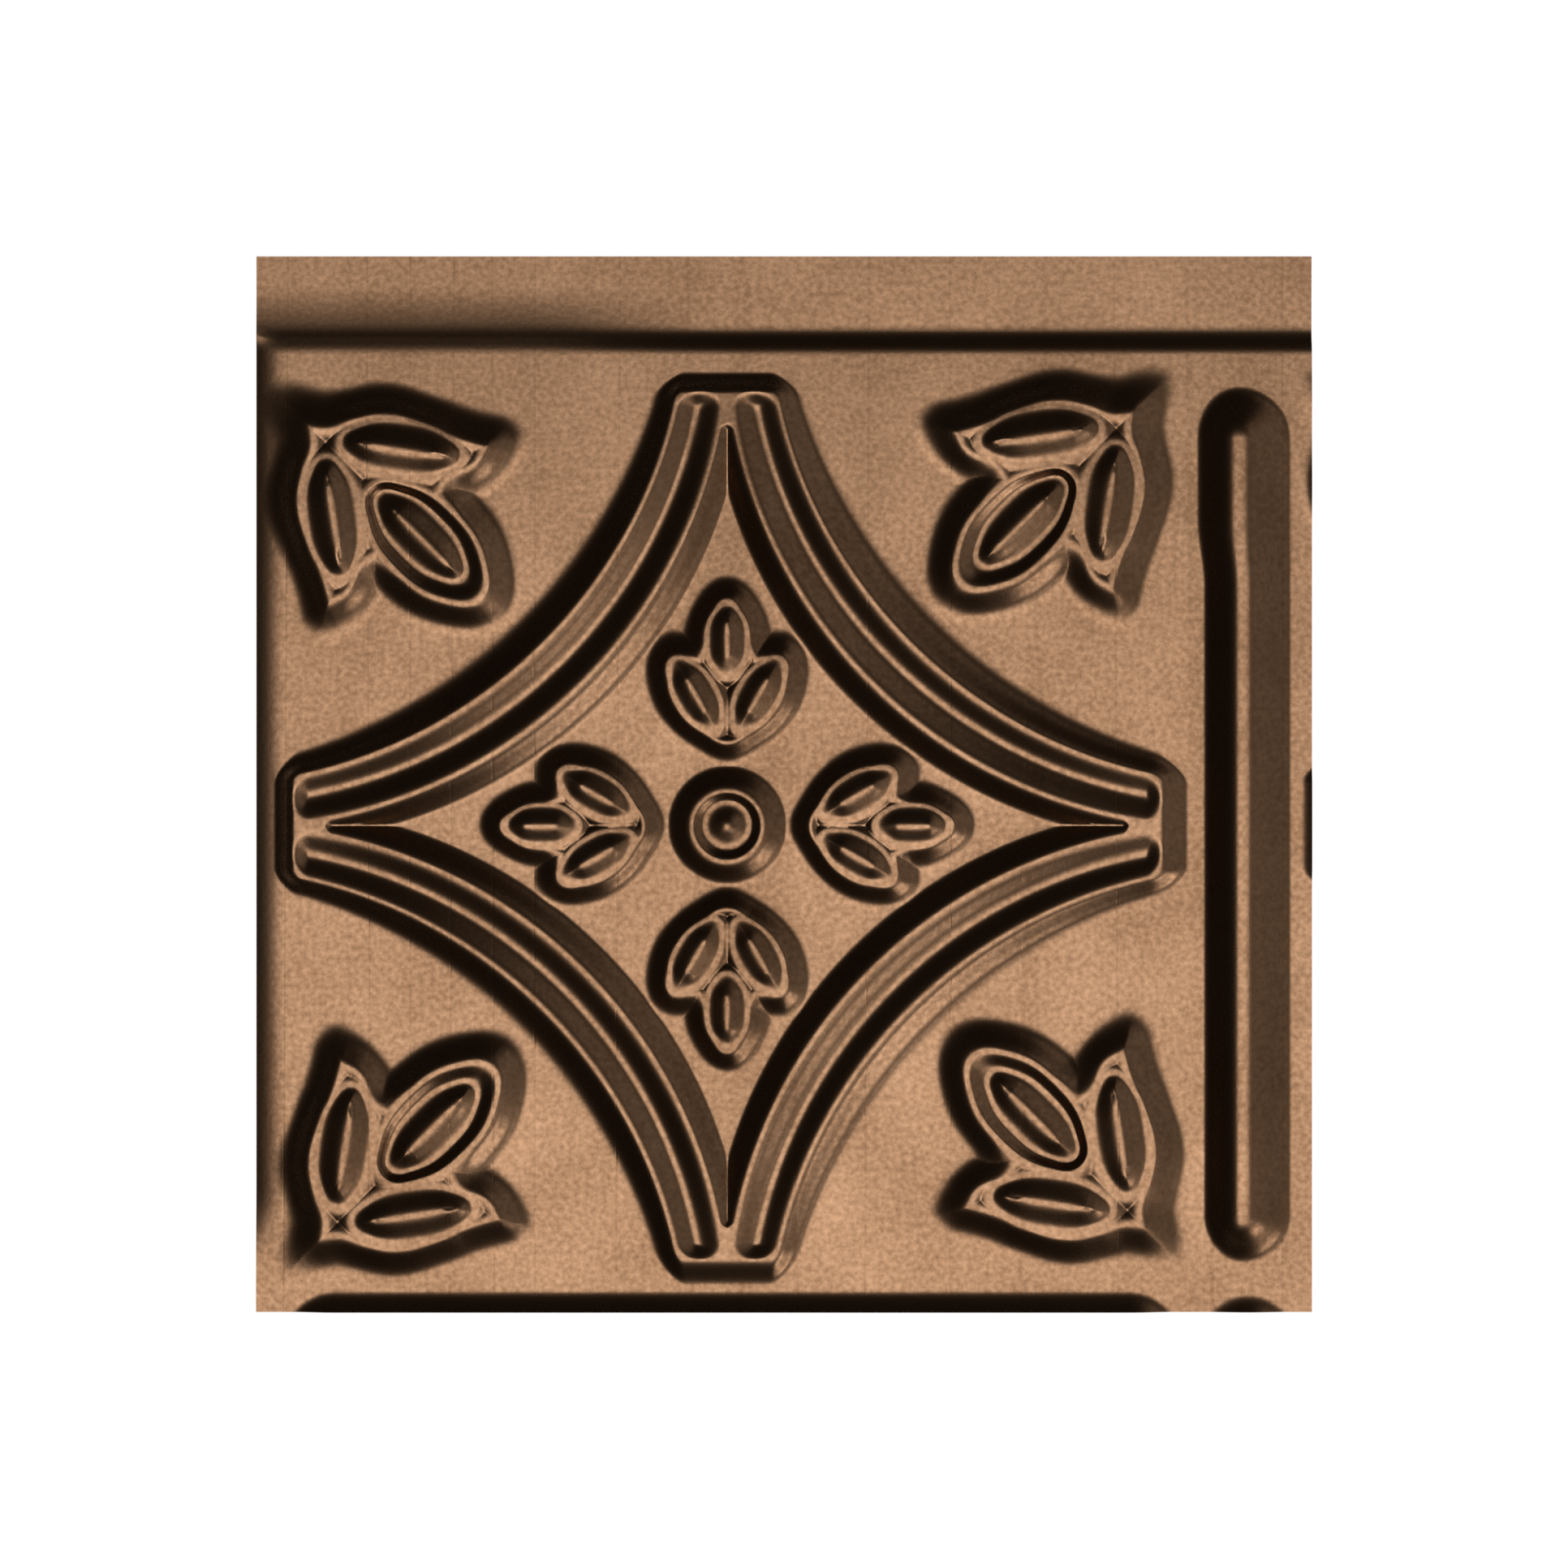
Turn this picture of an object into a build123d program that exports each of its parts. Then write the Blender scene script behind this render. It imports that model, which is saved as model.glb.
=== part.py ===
from build123d import *
import math
import os

# Backsplash panel: one vinyl sheet, pressed with a star and leaf pattern and cut to a square sample.
# Millimetres. The sheet lies face up: +Z out of the face, +Y towards the rail along its top edge.
# The origin is under the middle of the sheet, on the plane that the rail's back lies on.

# The cut sheet
PANEL_WIDTH = 152.4
PANEL_LENGTH = 152.4
SHEET_THICKNESS = 0.6

# The flat rail along the top edge, and the field that stands above it
RAIL_WIDTH = 11.1
RAIL_WALL_RUN = 2.8
FIELD_LIFT = 0.9

# The left edge, where the field rolls down to the cut
EDGE_ROLL_WIDTH = 3.6
EDGE_ROLL_DROP = 0.5

# The pattern repeats on a square grid. Its first tile is placed from the sheet's top left corner.
TILE_PITCH = 150.0
TILE_FROM_LEFT = 67.9
TILE_FROM_TOP = 82.2

# Star frame: each side is five arcs in plan, from its outer foot to its inner foot.
# An arc's centre is on the tile's diagonal, that far along X and Y from the tile's middle.
STAR_HEIGHT = 2.4
STAR_GROOVE_DEPTH = 1.9
STAR_CREST_FLAT = 0.5
STAR_VALLEY_FLAT = 0.4
STAR_TIP_FOOT = 66.6
STAR_TIP_CREST = 62.0
STAR_INNER_APEX = 57.5
STAR_GROOVE_END = 59.6
OUTER_FOOT_CENTRE = 86.6
OUTER_FOOT_RADIUS = 80.6
OUTER_CREST_CENTRE = 75.9
OUTER_CREST_RADIUS = 70.05
VALLEY_CENTRE = 73.3
VALLEY_RADIUS = 70.2
INNER_CREST_CENTRE = 68.8
INNER_CREST_RADIUS = 67.95
INNER_FOOT_CENTRE = 67.6
INNER_FOOT_RADIUS = 70.6

# Round boss in the middle of the star
BOSS_FOOT_RADIUS = 8.2
BOSS_CREST_RADIUS = 5.0
BOSS_VALLEY_RADIUS = 3.4
BOSS_CREST_HEIGHT = 1.6
BOSS_VALLEY_HEIGHT = 0.9
BOSS_BUTTON_HEIGHT = 1.7
BOSS_CREST_FLAT = 0.4

# Buds: three pads that run together, each with a ridged petal on it. Places are from the star's middle.
BUD_HEIGHT = 1.5
BUD_TOP_PAD_Y = 26.5
BUD_TOP_PAD_LENGTH = 17.8
BUD_TOP_PAD_WIDTH = 13.0
BUD_SIDE_PAD_X = 4.6
BUD_SIDE_PAD_Y = 18.7
BUD_SIDE_PAD_TILT = 35.5
BUD_SIDE_PAD_LENGTH = 19.6
BUD_SIDE_PAD_WIDTH = 14.0
BUD_PETAL_LENGTH = 9.5
BUD_PETAL_WIDTH = 5.0
BUD_PETAL_RISE = 0.7

# Leaves in the tile's corners: one pad on the diagonal and one on each side of it
LEAF_HEIGHT = 2.0
LEAF_MIDDLE_PAD_AT = 43.0
LEAF_MIDDLE_PAD_LENGTH = 36.4
LEAF_MIDDLE_PAD_WIDTH = 19.0
LEAF_SIDE_PAD_FAR = 59.2
LEAF_SIDE_PAD_NEAR = 46.5
LEAF_SIDE_PAD_TURN = 10.0
LEAF_SIDE_PAD_LENGTH = 37.4
LEAF_SIDE_PAD_WIDTH = 13.0
LEAF_SIDE_PETAL_FAR = 55.8
LEAF_PETAL_LENGTH = 17.8
LEAF_PETAL_WIDTH = 7.2
LEAF_PETAL_RISE = 0.9
LEAF_HEART_AT = 54.5
LEAF_HEART_WIDTH = 16.0

# Half-round bars between the tiles, with a round stud where they would cross
BAR_WIDTH = 13.1
BAR_LENGTH = 126.8
BAR_HEIGHT = 3.0
STUD_WIDTH = 15.2
STUD_HEIGHT = 3.0

# The pads' walls stand at this angle to the field
PAD_WALL_ANGLE = 40.0

# How far each raised shape is rooted in the field, and how far cutting shapes run past it
ROOT = 1.2
OVERRUN = 2.0
PEAK_OVERRUN = 1.1

FIELD_TOP = SHEET_THICKNESS + FIELD_LIFT
TILE_X = TILE_FROM_LEFT - PANEL_WIDTH / 2
TILE_Y = PANEL_LENGTH / 2 - TILE_FROM_TOP
HALF_PITCH = TILE_PITCH / 2
QUARTER_TURNS = (0, 90, 180, 270)
PAD_WALL_LEAN = 1 / math.tan(math.radians(PAD_WALL_ANGLE))


def disc_column(low, high, bottom, top):
    """A solid between two level circles, carried on past them. low and high: (centre, radius, height)."""
    def at(height):
        share = (height - low[2]) / (high[2] - low[2])
        centre = low[0] + (high[0] - low[0]) * share
        radius = low[1] + (high[1] - low[1]) * share
        return Pos(centre, centre, height) * Circle(radius)
    return loft([at(bottom), at(top)], ruled=True)


def square_column(low, high, bottom, top):
    """A solid between two level squares, carried on past them. low and high: (half side, height)."""
    def at(height):
        share = (height - low[1]) / (high[1] - low[1])
        side = 2 * (low[0] + (high[0] - low[0]) * share)
        return Pos(0, 0, height) * Rectangle(side, side)
    return loft([at(bottom), at(top)], ruled=True)


def lens(length, width, lean, base, root, rise):
    """A pointed oval along Y with leaning walls, from its root below the base to its rise above it."""
    half_length = length / 2
    half_width = width / 2
    radius = (half_length ** 2 + half_width ** 2) / (2 * half_width)
    offset = radius - half_width
    wall = Pos(0, 0, base - root) * Cone(radius + root * lean, radius - rise * lean, root + rise,
                                         align=(Align.CENTER, Align.CENTER, Align.MIN))
    return (Pos(offset, 0, 0) * wall) & (Pos(-offset, 0, 0) * wall)


def pad(length, width, height):
    """A flat-topped pad on the field."""
    return lens(length, width, PAD_WALL_LEAN, FIELD_TOP, ROOT, height)


def petal(length, width, rise, base):
    """A petal on a pad: its two walls meet in a crease, highest in the middle."""
    return lens(length, width, width / 2 / rise, base, rise, rise * PEAK_OVERRUN)


def star_frame():
    """The four-pointed frame: a double ridge with a groove between its two crests."""
    foot = 0.0
    crest = STAR_HEIGHT
    valley = STAR_HEIGHT - STAR_GROOVE_DEPTH
    half_crest = STAR_CREST_FLAT / 2
    half_valley = STAR_VALLEY_FLAT / 2
    outer_foot = (OUTER_FOOT_CENTRE, OUTER_FOOT_RADIUS, foot)
    outer_crest = (OUTER_CREST_CENTRE, OUTER_CREST_RADIUS - half_crest, crest)
    inner_foot = (INNER_FOOT_CENTRE, INNER_FOOT_RADIUS, foot)
    inner_crest = (INNER_CREST_CENTRE, INNER_CREST_RADIUS + half_crest, crest)
    groove_outer_top = (OUTER_CREST_CENTRE, OUTER_CREST_RADIUS + half_crest, crest)
    groove_inner_top = (INNER_CREST_CENTRE, INNER_CREST_RADIUS - half_crest, crest)
    valley_low = (VALLEY_CENTRE, VALLEY_RADIUS - half_valley, valley)
    valley_high = (VALLEY_CENTRE, VALLEY_RADIUS + half_valley, valley)
    above = crest + OVERRUN
    below = -ROOT - OVERRUN

    frame = square_column((STAR_TIP_FOOT, foot), (STAR_TIP_CREST, crest), -ROOT, crest)
    outside = disc_column(outer_foot, outer_crest, below, above)
    for turn in QUARTER_TURNS:
        frame -= Rot(0, 0, turn) * outside

    tip_lean = STAR_TIP_FOOT - STAR_TIP_CREST
    pocket = square_column((STAR_INNER_APEX - tip_lean, foot), (STAR_INNER_APEX, crest), below, above)
    inside = disc_column(inner_foot, inner_crest, below - OVERRUN, above + OVERRUN)
    for turn in QUARTER_TURNS:
        pocket -= Rot(0, 0, turn) * inside
    frame -= pocket

    groove = disc_column(valley_high, groove_inner_top, valley, above)
    groove -= disc_column(valley_low, groove_outer_top, valley - OVERRUN, above + OVERRUN)
    groove_top_end = STAR_TIP_CREST - STAR_CREST_FLAT
    ends = square_column((STAR_GROOVE_END, valley), (groove_top_end, crest), valley - OVERRUN, above)
    groove = groove & ends
    for turn in QUARTER_TURNS:
        frame -= Rot(0, 0, turn) * groove
    return Pos(0, 0, FIELD_TOP) * frame


def boss():
    """The round boss: a crest ring, a valley ring and a pointed button."""
    half_flat = BOSS_CREST_FLAT / 2
    wall_lean = (BOSS_FOOT_RADIUS - BOSS_CREST_RADIUS - half_flat) / BOSS_CREST_HEIGHT
    outline = Polyline(
        (0, -ROOT),
        (BOSS_FOOT_RADIUS + ROOT * wall_lean, -ROOT),
        (BOSS_CREST_RADIUS + half_flat, BOSS_CREST_HEIGHT),
        (BOSS_CREST_RADIUS - half_flat, BOSS_CREST_HEIGHT),
        (BOSS_VALLEY_RADIUS, BOSS_VALLEY_HEIGHT),
        (0, BOSS_BUTTON_HEIGHT),
        close=True,
    )
    return Pos(0, 0, FIELD_TOP) * revolve(Plane.XZ * make_face(outline), Axis.Z)


def bud():
    """One bud on the star's +Y arm."""
    plateau = FIELD_TOP + BUD_HEIGHT
    top_place = Pos(0, BUD_TOP_PAD_Y, 0)
    side_places = [
        Pos(side * BUD_SIDE_PAD_X, BUD_SIDE_PAD_Y, 0) * Rot(0, 0, -side * BUD_SIDE_PAD_TILT)
        for side in (-1, 1)
    ]
    top_pad = pad(BUD_TOP_PAD_LENGTH, BUD_TOP_PAD_WIDTH, BUD_HEIGHT)
    side_pad = pad(BUD_SIDE_PAD_LENGTH, BUD_SIDE_PAD_WIDTH, BUD_HEIGHT)
    ridge = petal(BUD_PETAL_LENGTH, BUD_PETAL_WIDTH, BUD_PETAL_RISE, plateau)
    pieces = [place * side_pad for place in side_places]
    pieces += [place * ridge for place in side_places]
    return top_place * top_pad + pieces + [top_place * ridge]


def leaf():
    """One leaf in the tile's corner between +X and +Y."""
    plateau = FIELD_TOP + LEAF_HEIGHT
    diagonal = Rot(0, 0, -45)
    middle_place = Pos(LEAF_MIDDLE_PAD_AT, LEAF_MIDDLE_PAD_AT, 0) * diagonal
    middle_pad = pad(LEAF_MIDDLE_PAD_LENGTH, LEAF_MIDDLE_PAD_WIDTH, LEAF_HEIGHT)
    side_pad = pad(LEAF_SIDE_PAD_LENGTH, LEAF_SIDE_PAD_WIDTH, LEAF_HEIGHT)
    ridge = petal(LEAF_PETAL_LENGTH, LEAF_PETAL_WIDTH, LEAF_PETAL_RISE, plateau)
    heart_pad = Pos(LEAF_HEART_AT, LEAF_HEART_AT, FIELD_TOP - ROOT) * Cone(
        LEAF_HEART_WIDTH / 2 + ROOT * PAD_WALL_LEAN, LEAF_HEART_WIDTH / 2 - LEAF_HEIGHT * PAD_WALL_LEAN,
        ROOT + LEAF_HEIGHT, align=(Align.CENTER, Align.CENTER, Align.MIN))
    upright = Rot(0, 0, -LEAF_SIDE_PAD_TURN)
    lying = Rot(0, 0, LEAF_SIDE_PAD_TURN - 90)
    pieces = [
        Pos(LEAF_SIDE_PAD_FAR, LEAF_SIDE_PAD_NEAR, 0) * upright * side_pad,
        Pos(LEAF_SIDE_PAD_NEAR, LEAF_SIDE_PAD_FAR, 0) * lying * side_pad,
        Pos(LEAF_SIDE_PETAL_FAR, LEAF_SIDE_PAD_NEAR, 0) * upright * ridge,
        Pos(LEAF_SIDE_PAD_NEAR, LEAF_SIDE_PETAL_FAR, 0) * lying * ridge,
        heart_pad,
        middle_place * ridge,
    ]
    return middle_place * middle_pad + pieces


def bar():
    """A half-round bar along Y with round ends, sunk so that it stands at its height."""
    half_width = BAR_WIDTH / 2
    radius = (half_width ** 2 + BAR_HEIGHT ** 2) / (2 * BAR_HEIGHT)
    straight = BAR_LENGTH / 2 - half_width
    outline = Polyline((0, -straight - radius), (0, straight + radius))
    outline += RadiusArc((0, straight + radius), (radius, straight), radius)
    outline += Line((radius, straight), (radius, -straight))
    outline += RadiusArc((radius, -straight), (0, -straight - radius), radius)
    capsule = revolve(make_face(outline), Axis.Y)
    return Pos(0, 0, FIELD_TOP + BAR_HEIGHT - radius) * capsule


def stud():
    """A round dome."""
    half_width = STUD_WIDTH / 2
    radius = (half_width ** 2 + STUD_HEIGHT ** 2) / (2 * STUD_HEIGHT)
    return Pos(0, 0, FIELD_TOP + STUD_HEIGHT - radius) * Sphere(radius)


def field():
    """The block under the face: the field, cut down to the rail and rolled down at the left edge."""
    margin = TILE_PITCH
    depth = BAR_WIDTH + BAR_HEIGHT
    block = Pos(0, 0, FIELD_TOP) * Box(PANEL_WIDTH + 2 * margin, PANEL_LENGTH + 2 * margin, depth,
                                       align=(Align.CENTER, Align.CENTER, Align.MAX))
    rail_edge = PANEL_LENGTH / 2 - RAIL_WIDTH
    wall_lean = RAIL_WALL_RUN / FIELD_LIFT
    rail_cut = Polyline(
        (rail_edge, SHEET_THICKNESS),
        (rail_edge + 2 * margin, SHEET_THICKNESS),
        (rail_edge + 2 * margin, FIELD_TOP + OVERRUN),
        (rail_edge - RAIL_WALL_RUN - OVERRUN * wall_lean, FIELD_TOP + OVERRUN),
        close=True,
    )
    block -= extrude(Plane.YZ * make_face(rail_cut), PANEL_WIDTH + 2 * margin, both=True)
    left = -PANEL_WIDTH / 2
    roll_lean = EDGE_ROLL_WIDTH / EDGE_ROLL_DROP
    roll_cut = Polyline(
        (left + EDGE_ROLL_WIDTH + OVERRUN * roll_lean, FIELD_TOP + OVERRUN),
        (left - OVERRUN * roll_lean, FIELD_TOP - EDGE_ROLL_DROP - OVERRUN),
        (left - OVERRUN * roll_lean, FIELD_TOP + OVERRUN),
        close=True,
    )
    roll = extrude(Plane.XZ * make_face(roll_cut), PANEL_LENGTH + 2 * margin, both=True)
    above_rail = Pos(0, 0, SHEET_THICKNESS) * Box(2 * PANEL_WIDTH, 4 * PANEL_LENGTH, depth,
                                                  align=(Align.CENTER, Align.CENTER, Align.MIN))
    return block - (roll & above_rail)


def reaches_panel(x, y, reach_x, reach_y):
    """Whether a shape at x, y comes onto the cut sheet."""
    return abs(x) < PANEL_WIDTH / 2 + reach_x and abs(y) < PANEL_LENGTH / 2 + reach_y


def pattern():
    """Every raised shape of every tile that comes onto the sheet."""
    one_star = star_frame()
    one_boss = boss()
    buds = [Rot(0, 0, turn) * bud() for turn in QUARTER_TURNS]
    leaves = [Rot(0, 0, turn) * leaf() for turn in QUARTER_TURNS]
    upright_bar = bar()
    level_bar = Rot(0, 0, 90) * upright_bar
    one_stud = stud()
    columns = math.ceil(PANEL_WIDTH / TILE_PITCH) + 1
    rows = math.ceil(PANEL_LENGTH / TILE_PITCH) + 1
    shapes = []
    for column in range(columns):
        for row in range(rows):
            x = TILE_X + column * TILE_PITCH
            y = TILE_Y - row * TILE_PITCH
            if reaches_panel(x, y, STAR_TIP_FOOT, STAR_TIP_FOOT):
                tile = [one_star, one_boss] + buds + leaves
                for shape in tile:
                    size = shape.bounding_box()
                    middle = size.center()
                    if reaches_panel(x + middle.X, y + middle.Y, size.size.X / 2, size.size.Y / 2):
                        shapes.append(Pos(x, y, 0) * shape)
            if reaches_panel(x + HALF_PITCH, y, BAR_WIDTH / 2, BAR_LENGTH / 2):
                shapes.append(Pos(x + HALF_PITCH, y, 0) * upright_bar)
            if reaches_panel(x, y - HALF_PITCH, BAR_LENGTH / 2, BAR_WIDTH / 2):
                shapes.append(Pos(x, y - HALF_PITCH, 0) * level_bar)
            if reaches_panel(x + HALF_PITCH, y - HALF_PITCH, STUD_WIDTH / 2, STUD_WIDTH / 2):
                shapes.append(Pos(x + HALF_PITCH, y - HALF_PITCH, 0) * one_stud)
    return shapes


def panel():
    """The pressed sheet: everything under its face, less the same shape one thickness lower."""
    under_face = field()
    for shape in pattern():
        under_face += shape
    under_back = Pos(0, 0, -SHEET_THICKNESS) * under_face
    cut = Box(PANEL_WIDTH, PANEL_LENGTH, 4 * (FIELD_TOP + BAR_HEIGHT))
    return (under_face & cut) - under_back


os.makedirs("parts", exist_ok=True)
sheet = panel()
sheet.label = "panel"
export_step(sheet, "parts/panel.step")
print("panel solids", len(sheet.solids()), "volume", round(sheet.volume, 1), "box", sheet.bounding_box())
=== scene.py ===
# %% [markdown]
# # A pressed vinyl backsplash panel
# The object is one thin sheet of bronze-coloured vinyl, pressed between two tools and cut to a
# small square. A four-pointed star with a boss and four buds fills the field, a three-petalled leaf
# sits in each corner, a half-round bar runs down the right side and a flat rail along the top.
# The imported CAD model is loaded first, as a fixed frame. It gives the place and the true size of the
# sheet.

import math

import bpy
import numpy as np
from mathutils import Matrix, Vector


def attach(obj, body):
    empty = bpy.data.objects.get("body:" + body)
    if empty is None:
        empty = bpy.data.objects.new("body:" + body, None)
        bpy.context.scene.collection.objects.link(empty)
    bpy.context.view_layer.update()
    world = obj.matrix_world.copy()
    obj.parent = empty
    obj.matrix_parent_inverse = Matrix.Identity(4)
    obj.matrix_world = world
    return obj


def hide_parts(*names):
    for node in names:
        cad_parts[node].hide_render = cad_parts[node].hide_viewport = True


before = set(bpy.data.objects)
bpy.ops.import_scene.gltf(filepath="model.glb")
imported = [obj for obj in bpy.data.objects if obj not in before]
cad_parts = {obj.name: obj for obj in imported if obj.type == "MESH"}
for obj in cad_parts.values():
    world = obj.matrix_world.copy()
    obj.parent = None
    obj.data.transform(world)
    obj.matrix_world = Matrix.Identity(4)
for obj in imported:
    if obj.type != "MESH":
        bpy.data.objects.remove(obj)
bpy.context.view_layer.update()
MM = 0.001
print("CAD nodes:", sorted(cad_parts))

# %% [markdown]
# ## The plan of the press tool
# A toolmaker draws the plan of such a pattern first: the line where each shape leaves the flat
# field, its foot, and the line where it reaches its full height, its crest. The buds and the leaves
# have free outlines, so those are drawn here as Bezier curves through a few points, in millimetres
# from the middle of the star. Both shapes are the same on both sides of an axis, so only one half
# of each outline is written and the other half is its mirror image.

# %% Draw a plan line as a curve
CURVE_STEPS = 8
ALMOND_POINTS = 8
plan_lines = []


def plan_line(name, points, closed=True):
    """A smooth curve through the points. A point with a third entry keeps a sharp corner."""
    line = bpy.data.curves.new(name, "CURVE")
    line.dimensions = "2D" if closed else "3D"
    line.fill_mode = "NONE" if closed else "FULL"
    line.resolution_u = CURVE_STEPS
    spline = line.splines.new("BEZIER")
    spline.bezier_points.add(len(points) - 1)
    for knot, point in zip(spline.bezier_points, points):
        knot.co = (point[0], point[1], 0)
        handle = "VECTOR" if len(point) == 3 else "AUTO"
        knot.handle_left_type = handle
        knot.handle_right_type = handle
    spline.use_cyclic_u = closed
    drawn = bpy.data.objects.new(name, line)
    bpy.context.scene.collection.objects.link(drawn)
    plan_lines.append(drawn)
    return drawn


def mirrored(half, flip):
    """The half outline, then its mirror image run backwards, without the points on the axis."""
    other = [flip(point) for point in half[1:-1]]
    return half + other[::-1]


def almond(name, middle, half_length, half_width, lean, point):
    """A petal's outline, an oval at point 1 and sharper above. It leans clockwise from +Y."""
    turn = math.radians(lean)
    along = Vector((math.sin(turn), math.cos(turn)))
    across = Vector((math.cos(turn), -math.sin(turn)))
    corners = []
    for step in range(ALMOND_POINTS):
        angle = step * 2 * math.pi / ALMOND_POINTS
        width = math.copysign(abs(math.sin(angle)) ** point, math.sin(angle)) * half_width
        corner = along * half_length * math.cos(angle) + across * width
        corners.append((middle[0] + corner.x, middle[1] + corner.y))
    return plan_line(name, corners)


print("a plan line has", CURVE_STEPS, "steps between two points")


# %% The bud: x is across it, y is away from the middle of the star
def across_axis(point):
    return (-point[0],) + tuple(point[1:])


bud_foot = plan_line("bud_foot", mirrored([
    (0, 35.6), (3.0, 34.2), (5.4, 30.5), (6.4, 27.8, "corner"), (9.0, 27.6), (11.5, 23.6),
    (10.7, 17.6), (7.7, 13.6), (3.0, 10.2), (0, 9.1)], across_axis))
bud_crest = plan_line("bud_crest", mirrored([
    (0, 32.6), (2.0, 30.6), (3.15, 26.2), (4.0, 24.0, "corner"), (6.1, 24.3), (8.2, 24.0),
    (8.35, 20.6), (7.0, 17.2), (3.5, 13.8), (0, 12.0)], across_axis))
BUD_PETAL_HALF_WIDTH = 2.85
bud_top_petal = almond("bud_top_petal", (0, 26.6), 5.2, BUD_PETAL_HALF_WIDTH, 0, 1.1)
bud_top_crease = plan_line("bud_top_crease", [(0, 24.8), (0, 29.0)], closed=False)
bud_side_petal = almond("bud_side_petal", (4.5, 18.8), 6.0, BUD_PETAL_HALF_WIDTH, 30, 1.4)
bud_side_crease = plan_line("bud_side_crease", [(3.3, 16.7), (5.7, 20.9)], closed=False)
print("bud lines:", [line.name for line in plan_lines])


# %% The leaf: its axis is the diagonal, where x equals y
def across_diagonal(point):
    return (point[1], point[0]) + tuple(point[2:])


leaf_foot = plan_line("leaf_foot", mirrored([
    (64.9, 64.9), (65.7, 62.6), (64.2, 56.3), (65.2, 48.2), (62.9, 40.2), (61.0, 34.0),
    (60.0, 29.8), (57.4, 27.8), (54.1, 29.0), (48.8, 34.3, "corner"), (43.9, 31.0), (38.0, 29.3),
    (33.4, 29.3), (30.7, 30.7)], across_diagonal))
leaf_crest = plan_line("leaf_crest", mirrored([
    (59.1, 59.1, "corner"), (58.9, 56.4), (60.2, 52.7), (60.9, 48.0), (59.7, 42.8), (57.6, 38.1),
    (56.2, 33.6, "corner"), (53.5, 35.1), (51.5, 39.2), (49.4, 40.6, "corner"), (47.4, 38.3),
    (43.9, 36.0), (38.6, 34.1), (34.4, 34.4, "corner")], across_diagonal))
LEAF_SIDE_HALF_WIDTH, LEAF_MIDDLE_HALF_WIDTH = 3.8, 3.5
leaf_side_petal = almond("leaf_side_petal", (55.7, 45.8), 8.8, LEAF_SIDE_HALF_WIDTH, 7.5, 1.15)
leaf_side_crease = plan_line("leaf_side_crease", [(54.7, 40.0), (56.5, 51.2)], closed=False)
leaf_middle_petal = almond("leaf_middle_petal", (43.1, 43.1), 8.5, LEAF_MIDDLE_HALF_WIDTH, 45, 1.15)
leaf_lobe = almond("leaf_lobe", (42.4, 42.4), 11.0, 5.7, 45, 1.2)
leaf_middle_crease = plan_line("leaf_middle_crease", [(39.2, 39.2), (46.6, 46.6)], closed=False)
print("plan lines in all:", len(plan_lines))

# %% [markdown]
# ## Writing a rule as nodes
# The height of the sheet follows a rule all over, so the panel is made with Geometry Nodes. Long
# formulas are hard to read as chains of Math nodes. A small class lets them be written as ordinary
# sums here, while each plus or minus still becomes a node of the tree.


# %% Numbers that vary over the sheet
class Field:
    """One output of a node, which can be added, multiplied and so on."""

    def __init__(self, tree, socket):
        self.tree = tree
        self.socket = socket

    def __add__(self, other):
        return maths("ADD", self, other)

    def __sub__(self, other):
        return maths("SUBTRACT", self, other)

    def __rsub__(self, other):
        return maths("SUBTRACT", other, self)

    def __mul__(self, other):
        return maths("MULTIPLY", self, other)

    def __truediv__(self, other):
        return maths("DIVIDE", self, other)


def plug(tree, socket, term):
    """Links a field to a socket, or writes a plain number into it."""
    if isinstance(term, Field):
        tree.links.new(term.socket, socket)
    else:
        socket.default_value = term


def maths(operation, *terms):
    tree = next(term.tree for term in terms if isinstance(term, Field))
    node = tree.nodes.new("ShaderNodeMath")
    node.operation = operation
    for socket, term in zip(node.inputs, terms):
        plug(tree, socket, term)
    return Field(tree, node.outputs[0])


def span(x, y):
    """The length of the line from the origin to (x, y)."""
    return maths("SQRT", x * x + y * y)


def slope(field, start, end, low, high):
    """Goes smoothly from low, where the field is start, to high, where it is end."""
    node = field.tree.nodes.new("ShaderNodeMapRange")
    node.interpolation_type = "SMOOTHSTEP"
    settings = (field, start, end, low, high)
    for name, term in zip(("Value", "From Min", "From Max", "To Min", "To Max"), settings):
        plug(field.tree, node.inputs[name], term)
    return Field(field.tree, node.outputs["Result"])


def place_of(x, y):
    node = x.tree.nodes.new("ShaderNodeCombineXYZ")
    plug(x.tree, node.inputs["X"], x)
    plug(x.tree, node.inputs["Y"], y)
    return Field(x.tree, node.outputs["Vector"])


print("fields can be added, subtracted, multiplied and divided")


# %% Distances to the plan lines
def distance_to(line, place, filled):
    """How far a place is from a plan line, or from the whole area inside it."""
    tree = place.tree
    info = tree.nodes.new("GeometryNodeObjectInfo")
    info.inputs["Object"].default_value = line
    kind = "GeometryNodeFillCurve" if filled else "GeometryNodeCurveToMesh"
    drawn = tree.nodes.new(kind)
    near = tree.nodes.new("GeometryNodeProximity")
    near.target_element = "FACES" if filled else "EDGES"
    tree.links.new(info.outputs["Geometry"], drawn.inputs["Curve"])
    tree.links.new(drawn.outputs["Mesh"], near.inputs["Geometry"])
    tree.links.new(place.socket, near.inputs["Sample Position"])
    return Field(tree, near.outputs["Distance"])


TOUCHING = 0.0005
FULL_SHARE = 0.8
SOFT_FOOT = 1.45


def past_line(line, place):
    """How far a place is from a closed line: above 0 outside it and below 0 inside it."""
    outside = distance_to(line, place, True)
    inside = maths("LESS_THAN", outside, TOUCHING)
    return outside - distance_to(line, place, False) * inside


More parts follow.
